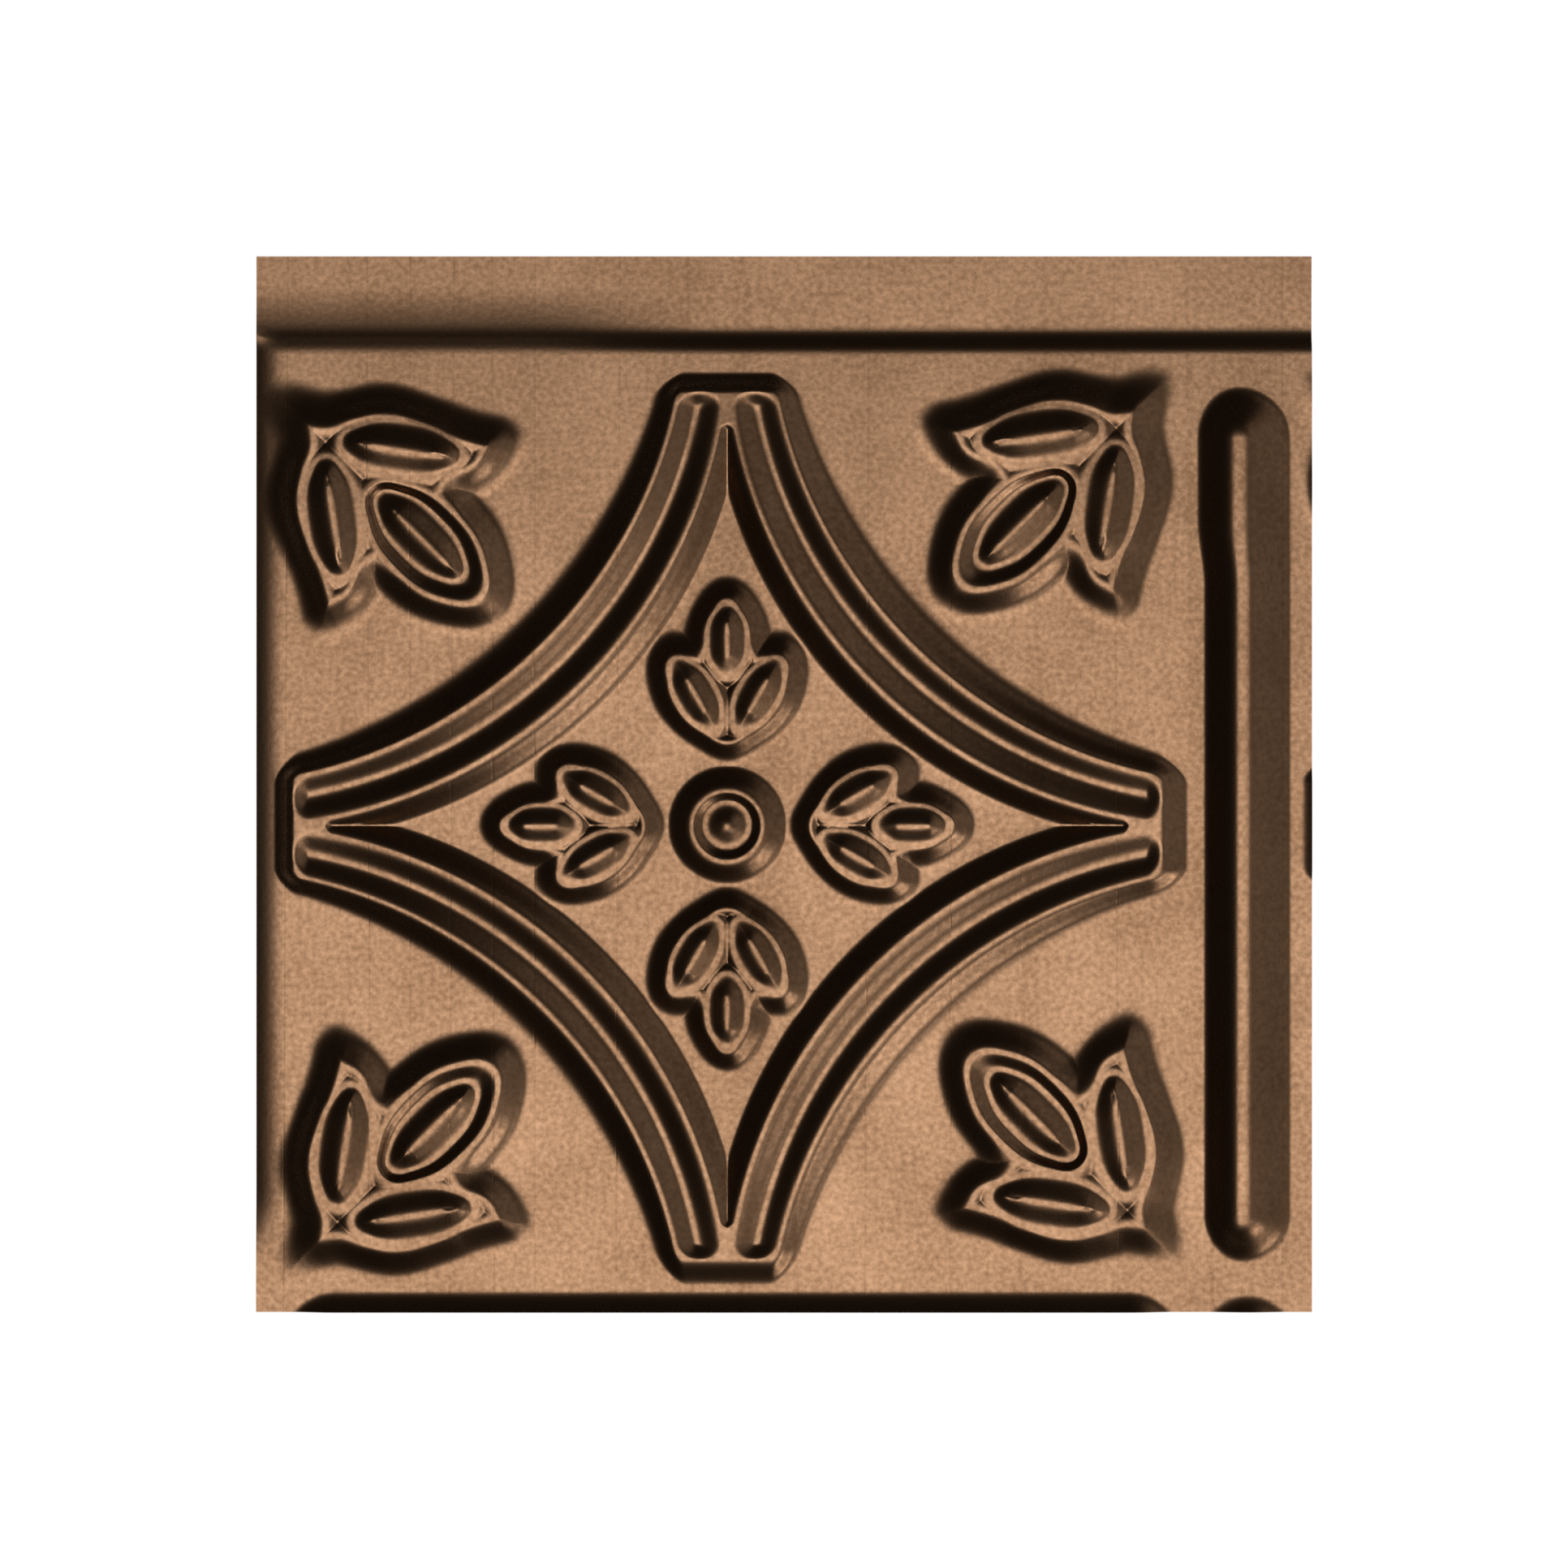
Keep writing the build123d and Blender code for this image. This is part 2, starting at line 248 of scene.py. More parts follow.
def rise_within(outline, left, soft=1.0):
    """A pressed shape: it climbs from its outline to where nothing is left, with a soft foot above 1."""
    depth = maths("MAXIMUM", 0 - outline, 0)
    share = depth / (depth + maths("MAXIMUM", left, 0) + TOUCHING)
    return slope(maths("POWER", share, soft), 0, 1, 0, 1)


def furrow(to_one_line, to_other_line, reach):
    """A groove between two lines: 0 on either of them and 1 at the reach from both."""
    nearer = maths("MAXIMUM", maths("MINIMUM", to_one_line, to_other_line), 0)
    share = maths("MINIMUM", nearer / reach, 1)
    return share * share


def petal(outline, crease, half_width, place):
    """A roof over the outline with its ridge on the crease, lower where the outline narrows."""
    left = distance_to(crease, place, False)
    full = maths("MINIMUM", (maths("MAXIMUM", 0 - outline, 0) + left) / (half_width * FULL_SHARE), 1)
    return rise_within(outline, left) * full


print("the rule's building blocks are ready")

# %% [markdown]
# ## The sizes of the relief
# The main sizes that a maker would set on the tool are named inputs of the tree, and the modifier
# sets them before the face is pressed. A photograph from straight above shows no depth, so the heights
# are typical of pressed vinyl: one and a half to three millimetres, with walls of about thirty degrees.

# %% Named sizes, with lengths in millimetres
SIZES = {
    "Panel width": 152.4,
    "Panel length": 152.4,
    "Grid cells": 640,
    "Sheet thickness": 0.6,
    "Field lift": 0.9,
    "Rail edge": 66.3,
    "Rail wall run": 4.8,
    "Rail bow": 0.5,
    "Rail tilt": 0.018,
    "Edge roll width": 4.4,
    "Edge roll drop": 0.65,
    "Star X": -8.2,
    "Star Y": -6.0,
    "Half pitch": 75.0,
    "Star height": 2.1,
    "Star groove": 1.4,
    "Boss height": 1.6,
    "Boss groove": 0.7,
    "Boss button": 0.9,
    "Bud height": 1.5,
    "Bud petal rise": 0.85,
    "Bud pit": 0.45,
    "Leaf height": 1.9,
    "Leaf groove": 0.45,
    "Leaf dish": 0.85,
    "Leaf petal rise": 1.1,
    "Right bar left half": 5.8,
    "Right bar right half": 7.2,
    "Right bar bulge": 1.0,
    "Right bar half length": 63.4,
    "Bottom bar half width": 8.0,
    "Bottom bar half length": 65.2,
    "Bar height": 3.0,
    "Stud radius": 7.6,
    "Stud height": 3.0,
    "Wave height": 0.09,
    "Wave length": 32.0,
    "Wave seed": 4.0,
}
press = bpy.data.node_groups.new("press_the_sheet", "GeometryNodeTree")
press.interface.new_socket("Geometry", in_out="OUTPUT", socket_type="NodeSocketGeometry")
size_socket = {}
for title, value in SIZES.items():
    socket = press.interface.new_socket(title, in_out="INPUT", socket_type="NodeSocketFloat")
    socket.default_value = value
    size_socket[title] = socket.identifier
finish_socket = press.interface.new_socket("Finish", in_out="INPUT", socket_type="NodeSocketMaterial")
group_input = press.nodes.new("NodeGroupInput")
size = {title: Field(press, group_input.outputs[title]) for title in SIZES}
print(len(SIZES), "named sizes")

# %% [markdown]
# ## The rule
# The pattern repeats by mirror images every 75 mm, so the rule first folds the plane: a ping-pong
# of each distance from the star's middle brings every point into one quarter of one tile. There the
# star is five circle arcs, its foot, two crests, the groove between them and its inner foot. Each
# stretch between two neighbouring lines is one smooth S-shaped wall, and the frame gets lower
# towards its tips, where the walls have less room. The boss, the bars and the stud follow from the
# distance to a point or to a line. Each shape could be modelled by itself and joined on, but heights
# that are added up keep the sheet in one piece and its slopes smooth.

# %% The blank and its folded coordinates
NEIGHBOUR_SHIFT = 0.8
blank = press.nodes.new("GeometryNodeMeshGrid")
plug(press, blank.inputs["Size X"], size["Panel width"])
plug(press, blank.inputs["Size Y"], size["Panel length"])
for title in ("Vertices X", "Vertices Y"):
    plug(press, blank.inputs[title], size["Grid cells"] + 1)
position = press.nodes.new("GeometryNodeInputPosition")
parts_of_position = press.nodes.new("ShaderNodeSeparateXYZ")
press.links.new(position.outputs["Position"], parts_of_position.inputs["Vector"])
sheet_x = Field(press, parts_of_position.outputs["X"])
sheet_y = Field(press, parts_of_position.outputs["Y"])
from_star_x = sheet_x - size["Star X"]
from_star_y = sheet_y - size["Star Y"]
beyond = maths("GREATER_THAN", from_star_x, size["Half pitch"])
fold_x = maths("PINGPONG", from_star_x, size["Half pitch"]) - beyond * NEIGHBOUR_SHIFT
fold_y = maths("PINGPONG", from_star_y, size["Half pitch"])
far = maths("MAXIMUM", fold_x, fold_y)
near_axis = maths("MINIMUM", fold_x, fold_y)
print("half a tile is", SIZES["Half pitch"], "mm")

# %% The star's frame
STAR_ARCS = {
    "foot": (86.6, 79.3),
    "outer crest": (75.9, 70.05),
    "groove": (73.3, 70.2),
    "inner crest": (71.2, 71.34),
    "inner foot": (67.6, 70.6),
}
TIP_FOOT, TIP_CREST = 66.7, 62.3
STEEPER_TIP = 1.3
GROOVE_CAP, GROOVE_END = 62.8, 60.2
INNER_APEX, INNER_END = 58.4, 57.0
CORNER = 0.3
TAPER_FROM, TAPER_TO, TIP_SHARE = 40.0, 66.0, 0.65
past = {}
for title, (centre, radius) in STAR_ARCS.items():
    past[title] = span(fold_x - centre, fold_y - centre) - radius


def across(start, end):
    """Share of the way from one line of the star to the next, seen from outside."""
    return maths("MAXIMUM", past[start] / (past[start] - past[end]), 0)


def along(start, end):
    """Share of the way in from a tip."""
    return maths("MAXIMUM", (far - start) / (end - start), 0)


def rounded(one_way, other_way, corner=0.0):
    """Two walls joined round their corner: 0 at the foot and 1 where both are climbed."""
    full = 1 + corner
    left = span(maths("MAXIMUM", full - one_way, 0), maths("MAXIMUM", full - other_way, 0))
    return slope(left, full, corner, 0, 1)


at_left = maths("LESS_THAN", from_star_x, -TAPER_FROM)
at_left_or_top = maths("MAXIMUM", at_left, maths("GREATER_THAN", from_star_y, TAPER_FROM))
foot_of_tip = TIP_FOOT - at_left_or_top * STEEPER_TIP
soft_side = maths("POWER", across("foot", "outer crest"), SOFT_FOOT)
wall = rounded(soft_side, along(foot_of_tip, TIP_CREST), CORNER)
in_groove = maths("MAXIMUM", 1 - across("groove", "inner crest"), 0)
in_groove = maths("MINIMUM", across("outer crest", "groove"), in_groove)
groove = rounded(in_groove, along(GROOVE_CAP, GROOVE_END))
hollow = rounded(across("inner crest", "inner foot"), along(INNER_APEX, INNER_END))
star = wall * (size["Star height"] * (1 - hollow) - size["Star groove"] * groove)
star = star * slope(far, TAPER_FROM, TAPER_TO, 1, TIP_SHARE)
print("nodes with the star:", len(press.nodes))

# %% The boss in the middle, the bars and the stud
BOSS_FOOT, BOSS_CREST, BOSS_RING = 8.8, 5.1, 3.3
BOSS_FLAT = 0.15
BAR_ROUND = 1.2
BULGE_FROM, BULGE_TO = 28.5, 38.0
RIGHT_CREST, BOTTOM_BAR_SHIFT = 74.3, 0.7
from_middle = span(fold_x, fold_y)
boss = slope(from_middle, BOSS_FOOT, BOSS_CREST, 0, size["Boss height"])
boss = boss - slope(from_middle, BOSS_CREST - BOSS_FLAT, BOSS_RING + BOSS_FLAT, 0, size["Boss groove"])
boss = boss + slope(from_middle, BOSS_RING - BOSS_FLAT, 0, 0, size["Boss button"])


def bar(off_crest, off_middle, low_side, high_side, half_length):
    """A round-ended bar whose crest lies nearer to one side than to the other."""
    sideways = maths("MAXIMUM", off_crest / high_side, off_crest / (0 - low_side))
    past_end = maths("MAXIMUM", (off_middle - half_length) / high_side + 1, 0)
    return slope(maths("POWER", span(sideways, past_end), BAR_ROUND), 1, 0, 0, size["Bar height"])


from_right = from_star_x - size["Half pitch"]
from_bottom = from_star_y + size["Half pitch"]
bulge = slope(sheet_y, BULGE_FROM, BULGE_TO, 0, size["Right bar bulge"] / 2)
bars = bar(from_star_x - RIGHT_CREST + bulge, maths("ABSOLUTE", from_star_y),
           size["Right bar left half"] + bulge, size["Right bar right half"] + bulge,
           size["Right bar half length"])
bars = bars + bar(from_bottom, maths("ABSOLUTE", from_star_x - BOTTOM_BAR_SHIFT),
                  size["Bottom bar half width"], size["Bottom bar half width"],
                  size["Bottom bar half length"])
stud = slope(span(from_right, from_bottom), size["Stud radius"], 0, 0, size["Stud height"])
print("nodes with the boss, the bars and the stud:", len(press.nodes))

# %% [markdown]
# ## Buds and leaves
# Both are pads with petals on them. A pad climbs from its foot line to its crest line, and each petal
# is a small roof with a crease along its ridge and a narrow flat ring round it. They could be sculpted
# by hand. Here the distances to the drawn lines say how far up its wall each point is, so that the
# four of each come out alike.

# %% The buds
RING_WIDTH = 0.3
FOOT_SPREAD = 1.0
PIT_REACH = 1.1
bud_place = place_of(near_axis, far)
past_top = past_line(bud_top_petal, bud_place)
past_side = past_line(bud_side_petal, bud_place)
past_crest = past_line(bud_crest, bud_place)
past_ring = maths("MINIMUM", past_top, past_side) - RING_WIDTH
past_foot = past_line(bud_foot, bud_place) - FOOT_SPREAD
bud_pad = rise_within(past_foot, maths("MINIMUM", past_ring, past_crest), SOFT_FOOT)
pits = furrow(past_ring, 0 - past_crest, PIT_REACH)
bud_petals = petal(past_top, bud_top_crease, BUD_PETAL_HALF_WIDTH, bud_place)
bud_petals = bud_petals + petal(past_side, bud_side_crease, BUD_PETAL_HALF_WIDTH, bud_place)
bud = size["Bud height"] * bud_pad + size["Bud petal rise"] * bud_petals - size["Bud pit"] * pits
print("nodes with the buds:", len(press.nodes))

# %% The leaves
LEAF_NUDGE = {(1, 1): (-0.7, 0.5), (0, 1): (1.1, -1.5), (1, 0): (0.9, -1.3), (0, 0): (-0.6, 0.4)}
CREST_INSET = 0.25
GROOVE_REACH = 1.7
on_right = maths("GREATER_THAN", from_star_x, 0)
on_top = maths("GREATER_THAN", from_star_y, 0)


def nudge(axis):
    """How far the tool's four leaves stand off a true mirror image, corner by corner."""
    total = on_right * 0
    for (right, top), shift in LEAF_NUDGE.items():
        beside = on_right if right else 1 - on_right
        above = on_top if top else 1 - on_top
        total = total + beside * above * shift[axis]
    return total


NEIGHBOUR_TOP, NEIGHBOUR_BOTTOM = 1.7, -2.0
neighbour = on_top * NEIGHBOUR_TOP + (1 - on_top) * NEIGHBOUR_BOTTOM
leaf_x = fold_x - nudge(0) - beyond * neighbour
leaf_y = fold_y - nudge(1)
leaf_place = place_of(maths("MAXIMUM", leaf_x, leaf_y), maths("MINIMUM", leaf_x, leaf_y))
past_side = past_line(leaf_side_petal, leaf_place)
past_middle = past_line(leaf_middle_petal, leaf_place)
past_crest = past_line(leaf_crest, leaf_place) + CREST_INSET
past_lobe = past_line(leaf_lobe, leaf_place)
past_ring = maths("MINIMUM", past_side, past_lobe) - RING_WIDTH
past_foot = past_line(leaf_foot, leaf_place) - FOOT_SPREAD
leaf_pad = rise_within(past_foot, maths("MINIMUM", past_ring, past_crest), SOFT_FOOT)
dish = rise_within(past_lobe, past_middle - RING_WIDTH)
grooves = furrow(past_ring, 0 - past_crest, GROOVE_REACH)
leaf_petals = petal(past_side, leaf_side_crease, LEAF_SIDE_HALF_WIDTH, leaf_place)
leaf_petals = leaf_petals + petal(past_middle, leaf_middle_crease, LEAF_MIDDLE_HALF_WIDTH, leaf_place)
leaf = size["Leaf height"] * leaf_pad - size["Leaf groove"] * grooves - size["Leaf dish"] * dish
leaf = leaf + size["Leaf petal rise"] * leaf_petals
print("nodes with the leaves:", len(press.nodes))

# %% [markdown]
# ## Rail, edge and waves
# The field stands a little above the rail and rolls down at the left edge, and a thin sheet is never
# quite flat. These are plain slopes of x and y, with a slow noise of fixed seed for the waves. All the
# heights are then added up and lift the blank, and new_from_object keeps the result as a plain mesh.

# %% The rail, the rolled left edge and the slight waves of a thin sheet
LEFT_FROM, LEFT_TO = -5.0, -38.0
BOW_START, BOW_RUN = 72.0, 7.5
ROLL_FADE = (-72.0, -57.0)
WAVE_DETAIL = 1.0
MIDDLE = 0.5
leftward = slope(sheet_x, LEFT_FROM, LEFT_TO, 0, 1)
on_field = slope(sheet_y, size["Rail edge"], size["Rail edge"] - size["Rail wall run"], 0, 1)
on_field = slope(on_field, 0, 1, 0, 1)
bowed = maths("MINIMUM", maths("MAXIMUM", (BOW_START - sheet_y) / BOW_RUN, 0), 1)
bow = size["Rail bow"] * bowed * bowed * leftward * (1 - on_field)
rolled = maths("MAXIMUM", size["Edge roll width"] - (sheet_x + size["Panel width"] / 2), 0)
rolled = rolled / size["Edge roll width"]
roll = size["Edge roll drop"] * rolled * rolled * on_field
roll = roll * slope(sheet_y, ROLL_FADE[0], ROLL_FADE[1], 0, 1)
noise = press.nodes.new("ShaderNodeTexNoise")
noise.noise_dimensions = "4D"
noise.inputs["Detail"].default_value = WAVE_DETAIL
press.links.new(place_of(sheet_x, sheet_y).socket, noise.inputs["Vector"])
plug(press, noise.inputs["Scale"], maths("DIVIDE", 1, size["Wave length"]))
plug(press, noise.inputs["W"], size["Wave seed"])
waves = size["Wave height"] * (Field(press, noise.outputs["Fac"]) - MIDDLE) * on_field
tilt = size["Rail tilt"] * maths("MAXIMUM", sheet_y - size["Rail edge"], 0)
height = size["Sheet thickness"] + size["Field lift"] * on_field + bow + tilt + waves - roll
height = height + star + boss + bars + stud + bud + leaf
print("nodes in the whole rule:", len(press.nodes))

# %% Raise the blank and turn millimetres into metres
raised = press.nodes.new("GeometryNodeSetPosition")
lift_vector = press.nodes.new("ShaderNodeCombineXYZ")
plug(press, lift_vector.inputs["Z"], height)
press.links.new(blank.outputs["Mesh"], raised.inputs["Geometry"])
press.links.new(lift_vector.outputs["Vector"], raised.inputs["Offset"])
in_metres = press.nodes.new("GeometryNodeTransform")
in_metres.inputs["Scale"].default_value = (MM, MM, MM)
press.links.new(raised.outputs["Geometry"], in_metres.inputs["Geometry"])
realized = press.nodes.new("GeometryNodeRealizeInstances")
press.links.new(in_metres.outputs["Geometry"], realized.inputs["Geometry"])
coated = press.nodes.new("GeometryNodeSetMaterial")
press.links.new(realized.outputs["Geometry"], coated.inputs["Geometry"])
press.links.new(group_input.outputs["Finish"], coated.inputs["Material"])
group_output = press.nodes.new("NodeGroupOutput")
press.links.new(coated.outputs["Geometry"], group_output.inputs["Geometry"])
print("the tree ends in", coated.bl_label)

# %% Press the face and keep it as a mesh
bronze = bpy.data.materials.new("bronze_vinyl")
pressing = bpy.data.objects.new("pressing", bpy.data.meshes.new("pressing"))
bpy.context.scene.collection.objects.link(pressing)
modifier = pressing.modifiers.new("press", "NODES")
modifier.node_group = press
for title, value in SIZES.items():
    modifier[size_socket[title]] = float(value)
modifier[finish_socket.identifier] = bronze


def evaluated_mesh(made, name):
    """The mesh that an object's modifiers give, as a plain mesh."""
    made_now = made.evaluated_get(bpy.context.evaluated_depsgraph_get())
    mesh = bpy.data.meshes.new_from_object(made_now)
    mesh.name = name
    return mesh


fine = evaluated_mesh(pressing, "pressed_face")
pressing.modifiers.clear()
pressing.data = fine
for line in plan_lines:
    bpy.data.objects.remove(line)
print("pressed face:", len(fine.vertices), "points")

# %% [markdown]
# ## Thinning the mesh and giving it a back
# An even grid fine enough for the crests has far more triangles than the flat field needs. The
# Decimate modifier thins it and keeps triangles where the sheet bends. It runs twice, because the
# back, which nobody sees, needs fewer. The back is the same face one sheet thickness lower, and a
# rim joins the two at the cut edge.

# %% Read points and triangles from a mesh
cells = SIZES["Grid cells"]
half_size = np.array([SIZES["Panel width"], SIZES["Panel length"]]) * MM / 2
spacing = 2 * half_size / cells


def points_of(mesh):
    flat = np.empty(len(mesh.vertices) * 3, np.float32)
    mesh.vertices.foreach_get("co", flat)
    return flat.reshape(-1, 3).astype(float)


def triangles_of(mesh):
    mesh.calc_loop_triangles()
    flat = np.empty(len(mesh.loop_triangles) * 3, np.int32)
    mesh.loop_triangles.foreach_get("vertices", flat)
    return flat.reshape(-1, 3)


grid_height = points_of(fine)[:, 2].reshape(cells + 1, cells + 1)
steepness = np.stack(np.gradient(grid_height, *spacing), axis=-1)
print("spacing in mm:", np.round(spacing / MM, 3))

# %% Thin the face for the front and for the back
FRONT_TRIANGLES = 148000
BACK_TRIANGLES = 46000
NEAR_BORDER = 0.25
PLACE_DIGITS = 7


def thinned(name, count):
    """The pressed face with fewer triangles. Border points go back to the cut edge, twins are merged."""
    thin = pressing.modifiers.new("thin", "DECIMATE")
    thin.ratio = count / (2 * cells * cells)
    mesh = evaluated_mesh(pressing, name)
    pressing.modifiers.clear()
    points = points_of(mesh)
    for axis in (0, 1):
        at_border = half_size[axis] - np.abs(points[:, axis]) < spacing[axis] * NEAR_BORDER
        points[at_border, axis] = np.sign(points[at_border, axis]) * half_size[axis]
    plan = points[:, :2].round(PLACE_DIGITS)
    _, first, place_now = np.unique(plan, axis=0, return_index=True, return_inverse=True)
    triangles = place_now.ravel()[triangles_of(mesh)]
    whole = (triangles != np.roll(triangles, 1, axis=1)).all(axis=1)
    return points[first], triangles[whole]


front_points, front_triangles = thinned("front", FRONT_TRIANGLES)
back_points, back_triangles = thinned("back", BACK_TRIANGLES)
back_points[:, 2] -= SIZES["Sheet thickness"] * MM
bpy.data.objects.remove(pressing)
print("front:", len(front_triangles), "triangles, back:", len(back_triangles))


# %% Join them with a rim
def border_walk(points, axis, side):
    """The points on one cut edge and how far along it they are, walked with the sheet on the left."""
    on_edge = np.flatnonzero(points[:, axis] == side * half_size[axis])
    along = points[on_edge, 1 - axis] * side * (1 if axis == 0 else -1)
    order = np.argsort(along)
    return on_edge[order], along[order]


rim_triangles = []
rim_normals = []
for axis, side in ((0, 1), (1, 1), (0, -1), (1, -1)):
    upper, upper_way = border_walk(front_points, axis, side)
    lower, lower_way = border_walk(back_points, axis, side)
    lower = lower + len(front_points)
    outward = [0.0, 0.0, 0.0]
    outward[axis] = float(side)
    on_upper = on_lower = 0
    while on_upper < len(upper) - 1 or on_lower < len(lower) - 1:
        upper_next = upper_way[on_upper + 1] if on_upper < len(upper) - 1 else math.inf
        lower_next = lower_way[on_lower + 1] if on_lower < len(lower) - 1 else math.inf
        if upper_next <= lower_next:
            rim_triangles.append((lower[on_lower], upper[on_upper + 1], upper[on_upper]))
            on_upper += 1
        else:
            rim_triangles.append((lower[on_lower], lower[on_lower + 1], upper[on_upper]))
            on_lower += 1
        rim_normals += [outward] * 3
faces = np.concatenate([front_triangles, back_triangles[:, ::-1] + len(front_points), rim_triangles])
sheet = bpy.data.meshes.new("panel_sheet")
sheet.from_pydata(np.concatenate([front_points, back_points]).tolist(), [], faces.tolist())
sheet.materials.append(bronze)
panel = bpy.data.objects.new("panel_sheet", sheet)
bpy.context.scene.collection.objects.link(panel)
print("closed sheet:", len(sheet.polygons), "triangles")

# %% [markdown]
# ## Smooth shading
# The thinned mesh would shade in flat spots, so every corner takes its normal from the slope of the
# fine grid under it. Where a large flat triangle touches a wall, the slope is read a little inside
# the triangle. Otherwise the wall's slope would smear out over the field as a soft shadow.

# %% Shading normals from the fine grid
SMALL_SIDE, LARGE_SIDE = 0.7 * MM, 3.0 * MM
MOST_INSIDE = 0.3


def steepness_at(places):
    """The slope of the fine grid at the places, by linear interpolation."""
    cell = (places + half_size) / spacing
    low = np.clip(np.floor(cell).astype(int), 0, cells - 1)
    part = np.clip(cell - low, 0, 1)
    total = 0
    for step_x in (0, 1):
        for step_y in (0, 1):
            share_x = part[:, 0] if step_x else 1 - part[:, 0]
            share_y = part[:, 1] if step_y else 1 - part[:, 1]
            total = total + (share_x * share_y)[:, None] * steepness[low[:, 0] + step_x, low[:, 1] + step_y]
    return total


def corner_normals(points, triangles):
    """A unit normal for each corner of each triangle, one after the other."""
    corners = points[triangles][:, :, :2]
    centres = corners.mean(axis=1, keepdims=True)
    reach = np.linalg.norm(corners - centres, axis=2).max(axis=1)
    inside = MOST_INSIDE * np.clip((reach - SMALL_SIDE) / (LARGE_SIDE - SMALL_SIDE), 0, 1)
    places = corners + (centres - corners) * inside[:, None, None]
    uphill = steepness_at(places.reshape(-1, 2))
    upward = np.concatenate([-uphill, np.ones((len(uphill), 1))], axis=1)
    return upward / np.linalg.norm(upward, axis=1)[:, None]


back_normals = -corner_normals(back_points, back_triangles[:, ::-1])
all_normals = np.concatenate([corner_normals(front_points, front_triangles), back_normals, rim_normals])
sheet.shade_smooth()
sheet.normals_split_custom_set(all_normals.tolist())
print("sheet box in mm:", [round(side / MM, 2) for side in panel.dimensions])

# %% [markdown]
# ## The bronze finish
# The vinyl carries a metallic bronze film, so it shades like a satin metal: bright where it faces
# the lamp and nearly black on the walls, which face the dark of the room. Pressing leaves a fine
# leathery grain in the film and faint upright draw lines. They could be painted on a picture, but
# noise needs no picture and no UV map. So both are made with noise on Object coordinates, in a node
# group that puts out one height and one tint.

# %% The grain of the film
LEATHER_DETAIL, CLOUD_DETAIL = 3.0, 2.0
CLOUD_SCALE = 0.05
UPRIGHT = (1.0, 0.004, 0.004)
LINE_OUTER, LINE_INNER = 0.008, 0.002
LINE_DEPTH = 0.5
LEATHER_TINT, CLOUD_TINT, LINE_TINT = 1.5, 0.8, 0.12
grain = bpy.data.node_groups.new("film_grain", "ShaderNodeTree")
grain.interface.new_socket("Place", in_out="INPUT", socket_type="NodeSocketVector")
for title in ("Grain size", "Line spacing"):
    grain.interface.new_socket(title, in_out="INPUT", socket_type="NodeSocketFloat")
for title in ("Height", "Tint"):
    grain.interface.new_socket(title, in_out="OUTPUT", socket_type="NodeSocketFloat")
grain_in = grain.nodes.new("NodeGroupInput")
grain_out = grain.nodes.new("NodeGroupOutput")


def noise_field(tree, vector, scale, detail):
    node = tree.nodes.new("ShaderNodeTexNoise")
    tree.links.new(vector, node.inputs["Vector"])
    plug(tree, node.inputs["Scale"], scale)
    node.inputs["Detail"].default_value = detail
    return Field(tree, node.outputs["Fac"])


place = grain_in.outputs["Place"]
per_grain = maths("DIVIDE", 1, Field(grain, grain_in.outputs["Grain size"]))
per_line = maths("DIVIDE", 1, Field(grain, grain_in.outputs["Line spacing"]))
leather = noise_field(grain, place, per_grain, LEATHER_DETAIL)
cloud = noise_field(grain, place, per_grain * CLOUD_SCALE, CLOUD_DETAIL)
upright = grain.nodes.new("ShaderNodeMapping")
upright.inputs["Scale"].default_value = UPRIGHT
grain.links.new(place, upright.inputs["Vector"])
lines = noise_field(grain, upright.outputs["Vector"], per_line, 0.0)
line_mask = slope(maths("ABSOLUTE", lines - MIDDLE), LINE_OUTER, LINE_INNER, 0, 1)
height_sum = leather - line_mask * LINE_DEPTH
tint_sum = (leather - MIDDLE) * LEATHER_TINT + (cloud - MIDDLE) * CLOUD_TINT
tint_sum = tint_sum - line_mask * LINE_TINT + MIDDLE
grain.links.new(height_sum.socket, grain_out.inputs["Height"])
grain.links.new(tint_sum.socket, grain_out.inputs["Tint"])
print("grain:", len(grain.nodes), "nodes")

# %% The bronze material
BRONZE_DEEP = (0.32, 0.17, 0.088, 1.0)
BRONZE_PALE = (0.62, 0.355, 0.203, 1.0)
GRAIN_SIZE, LINE_SPACING = 0.8 * MM, 12.0 * MM
DULL, SHINY = 0.31, 0.23
BUMP_STRENGTH, BUMP_DEPTH = 0.35, 0.03 * MM
bronze.use_nodes = True
shader = bronze.node_tree
shader.nodes.clear()
surface = shader.nodes.new("ShaderNodeBsdfPrincipled")
output = shader.nodes.new("ShaderNodeOutputMaterial")
coordinates = shader.nodes.new("ShaderNodeTexCoord")
film = shader.nodes.new("ShaderNodeGroup")
film.node_tree = grain
film.inputs["Grain size"].default_value = GRAIN_SIZE
film.inputs["Line spacing"].default_value = LINE_SPACING
tone = shader.nodes.new("ShaderNodeMix")
tone.data_type = "RGBA"
tone_sockets = {socket.identifier: socket for socket in tone.inputs}
tone_sockets["A_Color"].default_value = BRONZE_DEEP
tone_sockets["B_Color"].default_value = BRONZE_PALE
satin = shader.nodes.new("ShaderNodeMapRange")
satin.inputs["To Min"].default_value = DULL
satin.inputs["To Max"].default_value = SHINY
bump = shader.nodes.new("ShaderNodeBump")
bump.inputs["Strength"].default_value = BUMP_STRENGTH
bump.inputs["Distance"].default_value = BUMP_DEPTH
surface.inputs["Metallic"].default_value = 1.0
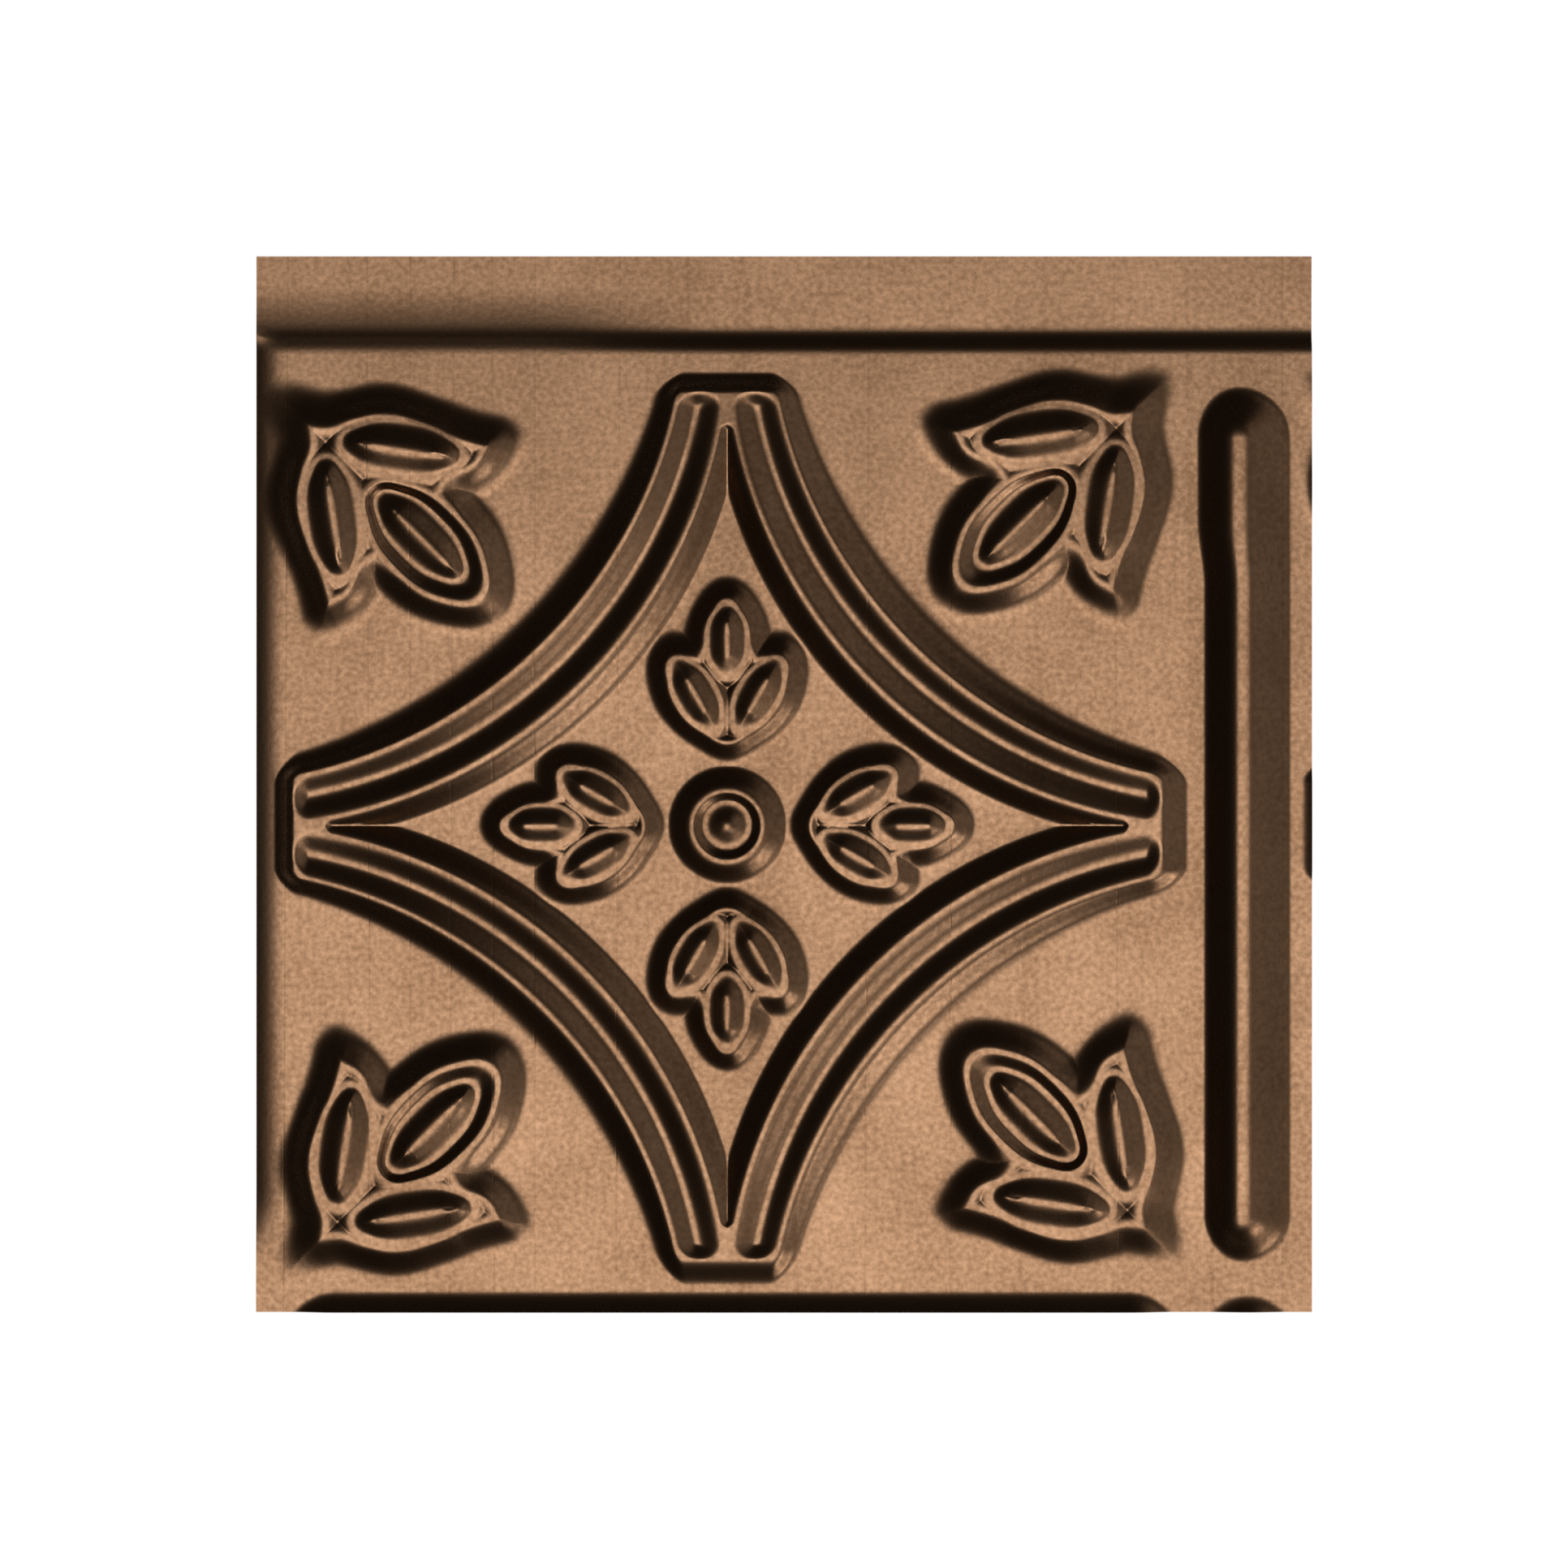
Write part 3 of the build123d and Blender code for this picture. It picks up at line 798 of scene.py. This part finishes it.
wires = (
    (coordinates.outputs["Object"], film.inputs["Place"]),
    (film.outputs["Tint"], tone_sockets["Factor_Float"]),
    (film.outputs["Tint"], satin.inputs["Value"]),
    (film.outputs["Height"], bump.inputs["Height"]),
    (next(s for s in tone.outputs if s.identifier == "Result_Color"), surface.inputs["Base Color"]),
    (satin.outputs["Result"], surface.inputs["Roughness"]),
    (bump.outputs["Normal"], surface.inputs["Normal"]),
    (surface.outputs["BSDF"], output.inputs["Surface"]),
)
for start, end in wires:
    shader.links.new(start, end)
print("bronze film:", len(shader.nodes), "nodes")

# %% Hang the finished sheet on the frame
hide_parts("panel")
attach(panel, "root")
print("the sheet stands for the CAD node panel")

# %% [markdown]
# ## Floor, light and camera
# The sheet lies on a plain white floor and the camera looks straight down. Metal shows what it
# reflects, so the lamps matter more than the colour. A large soft box overhead, a little towards
# the lower edge, lights everything that lies flat. A broad dim one on the right gives the walls
# that face it a sheen, and two small ones at the lower right corner put brighter streaks on the
# walls between. Each box fades towards its rim, and the rest of the room stays dark.

# %% The floor
FLOOR_HALF = 3.0
FLOOR_GLOW = 0.86
PAPER_WHITE = 0.8
floor_mesh = bpy.data.meshes.new("floor")
corners = [(x * FLOOR_HALF, y * FLOOR_HALF, 0) for x, y in ((-1, -1), (1, -1), (1, 1), (-1, 1))]
floor_mesh.from_pydata(corners, [], [(0, 1, 2, 3)])
floor = bpy.data.objects.new("floor", floor_mesh)
bpy.context.scene.collection.objects.link(floor)
paper = bpy.data.materials.new("white_floor")
paper.use_nodes = True
tree = paper.node_tree
tree.nodes.clear()
matt = tree.nodes.new("ShaderNodeBsdfDiffuse")
matt.inputs["Color"].default_value = (PAPER_WHITE, PAPER_WHITE, PAPER_WHITE, 1.0)
glow = tree.nodes.new("ShaderNodeEmission")
both = tree.nodes.new("ShaderNodeAddShader")
rays = tree.nodes.new("ShaderNodeLightPath")
paper_out = tree.nodes.new("ShaderNodeOutputMaterial")
seen = Field(tree, rays.outputs["Is Camera Ray"])
for title in ("Is Glossy Ray", "Is Transmission Ray"):
    seen = maths("MAXIMUM", seen, Field(tree, rays.outputs[title]))
plug(tree, glow.inputs["Strength"], seen * FLOOR_GLOW)
tree.links.new(matt.outputs["BSDF"], both.inputs[0])
tree.links.new(glow.outputs["Emission"], both.inputs[1])
tree.links.new(both.outputs["Shader"], paper_out.inputs["Surface"])
floor_mesh.materials.append(paper)
print("floor:", 2 * FLOOR_HALF, "m wide")

# %% The lamps and the dark room
ROOM = 0.008
FADE_FROM = 0.2


def soft_box(name, place, width, length, radiance):
    """A rectangular lamp aimed at the sheet, in its middle as bright as a card of that radiance."""
    lamp = bpy.data.lights.new(name, "AREA")
    lamp.shape = "RECTANGLE"
    lamp.size = width
    lamp.size_y = length
    lamp.energy = radiance * math.pi * width * length
    lamp.use_nodes = True
    tree = lamp.node_tree
    on_lamp = tree.nodes.new("ShaderNodeNewGeometry")
    sides = tree.nodes.new("ShaderNodeSeparateXYZ")
    tree.links.new(on_lamp.outputs["Parametric"], sides.inputs["Vector"])
    fades = []
    for axis in "XY":
        off_middle = maths("ABSOLUTE", Field(tree, sides.outputs[axis]) - MIDDLE)
        fades.append(slope(off_middle, MIDDLE, FADE_FROM, 0, 1))
    plug(tree, tree.nodes["Emission"].inputs["Strength"], fades[0] * fades[1])
    made = bpy.data.objects.new(name, lamp)
    made.location = place
    made.rotation_euler = (-Vector(place)).to_track_quat("-Z", "Y").to_euler()
    bpy.context.scene.collection.objects.link(made)


soft_box("overhead", (0.0, -0.3, 1.5), 1.5, 1.5, 1.33)
soft_box("right_side", (1.1, 0.1, 0.75), 3.0, 1.7, 0.16)
soft_box("front_low", (0.85, -0.85, 0.61), 0.8, 0.5, 1.7)
soft_box("front_high", (0.59, -0.59, 1.06), 0.8, 0.3, 0.6)
world = bpy.data.worlds.new("room")
bpy.context.scene.world = world
world.use_nodes = True
world.node_tree.nodes["Background"].inputs["Color"].default_value = (ROOM, ROOM, ROOM, 1.0)
world.node_tree.nodes["Background"].inputs["Strength"].default_value = 1.0
print("lamps:", [lamp.name for lamp in bpy.data.lights])

# %% The camera
VIEW_WIDTH = 0.2263
CAMERA_HEIGHT = 0.9
FIELD_LEVEL = (SIZES["Sheet thickness"] + SIZES["Field lift"]) * MM
lens = bpy.data.cameras.new("camera")
lens.sensor_width = 36.0
lens.lens = lens.sensor_width * (CAMERA_HEIGHT - FIELD_LEVEL) / VIEW_WIDTH
camera = bpy.data.objects.new("camera", lens)
camera.location = (0.0, 0.0, CAMERA_HEIGHT)
bpy.context.scene.collection.objects.link(camera)
bpy.context.scene.camera = camera
bpy.context.scene.view_settings.view_transform = "Standard"
print("camera:", round(lens.lens, 1), "mm lens at", CAMERA_HEIGHT, "m")
